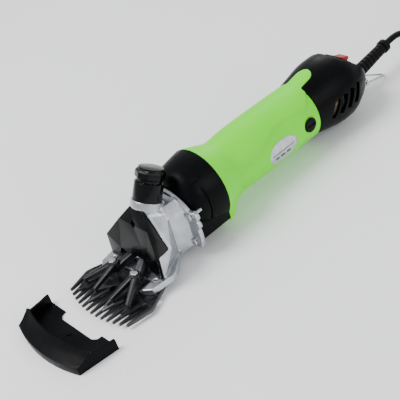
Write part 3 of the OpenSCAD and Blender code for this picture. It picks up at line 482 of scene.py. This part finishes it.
def make_grip():
    xs = np.concatenate([[32], np.linspace(32.35, 156.6, 250), [157]])
    angles = np.linspace(0, 2 * math.pi, 288, endpoint=False)
    x, a = np.meshgrid(xs, angles, indexing="ij")
    r = grip_radius(x, a)
    r[0] -= END_CHAMFER
    r[-1] -= END_CHAMFER
    inner = curve_through(GRIP_INSIDE, x)
    verts, faces = closed_sleeve(around(x, a, r), around(x, a, inner))
    return piece("grip_shell", verts, faces, "lime_plastic", replaces=["grip_housing"])


def make_tongue():
    """Tongue of the grip over the top of the rear cover, with a round end and a small fillet at its root."""
    xs = np.concatenate([np.linspace(155.6, TONGUE_ROUND_X, 24),
                         TONGUE_ROUND_X + TONGUE_HALF * np.sin(np.linspace(0.08, math.pi / 2, 22))])
    half = np.where(xs < TONGUE_ROUND_X, TONGUE_HALF + 3.2 * np.clip((159 - xs) / 3, 0, 1) ** 2,
                    np.sqrt(np.maximum(TONGUE_HALF**2 - (xs - TONGUE_ROUND_X) ** 2, 0.02)))
    u = np.linspace(-1, 1, 33)
    outer, inner = [], []
    for x, h in zip(xs, half):
        y = u * h
        edge = 0.25 * smoothstep(0.8, 0, np.minimum(h - np.abs(y), 0.8)) if h > 1 else 0.25 + 0 * y
        r = float(curve_through(REAR_R, np.array(max(x, 157.0)))) + 0.12 - edge
        outer.append(np.stack([x + 0 * y, y, np.sqrt(r**2 - y**2)], -1))
        r -= TONGUE_T
        inner.append(np.stack([x + 0 * y, y, np.sqrt(r**2 - y**2)], -1))
    outer, inner = np.array(outer), np.array(inner)
    rows, cols = outer.shape[:2]
    verts = np.concatenate([outer.reshape(-1, 3), inner.reshape(-1, 3)])
    base = rows * cols
    faces = grid_faces(rows, cols, wrap=False)
    faces += [tuple(base + v for v in f) for f in grid_faces(rows, cols, wrap=False, flip=True)]
    rim = [i * cols for i in range(rows)] + [(rows - 1) * cols + j for j in range(1, cols)]
    rim += [i * cols + cols - 1 for i in range(rows - 2, -1, -1)] + [j for j in range(cols - 2, 0, -1)]
    faces += [(a, b, base + b, base + a) for a, b in zip(rim, rim[1:] + rim[:1])]
    piece("grip_tongue", verts, faces, "lime_plastic")


make_grip()
make_tongue()


LABEL_X, LABEL_UP = 107.5, -4.5
LABEL_W, LABEL_H = 17.2, 11.6
LABEL_R = 27.2
# Low edge, high edge, left end and right end of each printed bar, from the label's middle
LABEL_BARS = ((0.6, 1.5, -14, 13), (-4.6, -2.2, -11, -6.5), (-4.6, -2.2, -4.5, 1), (-4.6, -2.2, 3, 8))


def on_cheek(along, up, lift):
    """The point at (along, up) mm from the label's middle, lift mm above the grip's near cheek."""
    x, a = LABEL_X + along, (LABEL_UP + up) / LABEL_R
    r = float(grip_radius(np.array(x), np.array(a))) + lift
    return x, -r * math.cos(a), r * math.sin(a)


def label_patch(outline, lift, thick):
    """The label: a thin patch from an outline of (along, up) points round its middle, in rings."""
    n, rings = len(outline), 10
    verts = [on_cheek(along * k / rings, up * k / rings, depth)
             for depth in (lift + thick, lift) for k in range(rings + 1) for along, up in outline]
    layer = (rings + 1) * n
    faces = []
    for k in range(rings):
        for j in range(n):
            m = (j + 1) % n
            a, b, c, d = k * n + j, k * n + m, (k + 1) * n + m, (k + 1) * n + j
            faces.append((a, b, c, d) if k else (a, c, d))
            faces.append((layer + d, layer + c, layer + b, layer + a) if k else (layer + d, layer + c, layer + a))
    faces += [(rings * n + j, rings * n + (j + 1) % n, layer + rings * n + (j + 1) % n, layer + rings * n + j)
              for j in range(n)]
    piece("label_face", verts, faces, "label_foil", replaces=["rating_label"])


def label_bar(name, low, high, left, right, lift=0.2, thick=0.05, n=12):
    """A narrow strip printed on the label: two rows of n points that run along it."""
    verts = [on_cheek(along, up, depth)
             for depth in (lift + thick, lift) for up in (low, high) for along in np.linspace(left, right, n)]
    faces = []
    for j in range(n - 1):
        faces += [(j, j + 1, n + j + 1, n + j), (3 * n + j, 3 * n + j + 1, 2 * n + j + 1, 2 * n + j),
                  (j, 2 * n + j, 2 * n + j + 1, j + 1), (n + j, n + j + 1, 3 * n + j + 1, 3 * n + j)]
    faces += [(0, n, 3 * n, 2 * n), (n - 1, 3 * n - 1, 4 * n - 1, 2 * n - 1)]
    piece(name, verts, faces, "label_foil", material="label_ink")


def make_label():
    def rounded(value):
        return math.copysign(abs(value) ** 0.9, value)
    label_patch([(LABEL_W * rounded(math.cos(t)), LABEL_H * rounded(math.sin(t)))
                 for t in np.linspace(0, 2 * math.pi, 72, endpoint=False)], -0.12, 0.3)
    for k, bar in enumerate(LABEL_BARS):
        label_bar(f"label_bar_{k}", *bar)


make_label()


# ---------- floor and light ----------
def make_floor():
    mesh = bpy.data.meshes.new("floor")
    size = 6.0
    mesh.from_pydata([(x, y, 0) for x in (-size, size) for y in (-size, size)], [], [(0, 2, 3, 1)])
    floor = bpy.data.objects.new("floor", mesh)
    bpy.context.scene.collection.objects.link(floor)
    mesh.materials.append(finish("floor", ((0.93, 0.93, 0.93), (0.96, 0.96, 0.96)), (0.6, 0.7), patch=2,
                                 grain=200, grain_strength=0.05))


def area_light(name, place, aim, size, power):
    data = bpy.data.lights.new(name, "AREA")
    data.shape = "DISK"
    data.size = size
    data.energy = power
    lamp = bpy.data.objects.new(name, data)
    bpy.context.scene.collection.objects.link(lamp)
    place, aim = Vector(place), Vector(aim)
    lamp.matrix_world = Matrix.Translation(place) @ (aim - place).to_track_quat("-Z", "Y").to_matrix().to_4x4()


make_floor()
area_light("key", (-0.9, 0.5, 1.5), (0, 0, 0), 1.1, 34)
area_light("fill", (0.3, -1.5, 0.9), (0, 0, 0), 1.2, 10)
area_light("back", (1.4, 0.9, 0.8), (0, 0, 0.03), 0.9, 8)
world = bpy.data.worlds.new("studio")
bpy.context.scene.world = world
world.use_nodes = True
background = world.node_tree.nodes["Background"]
background.inputs["Color"].default_value = (0.95, 0.97, 1, 1)
background.inputs["Strength"].default_value = 0.75
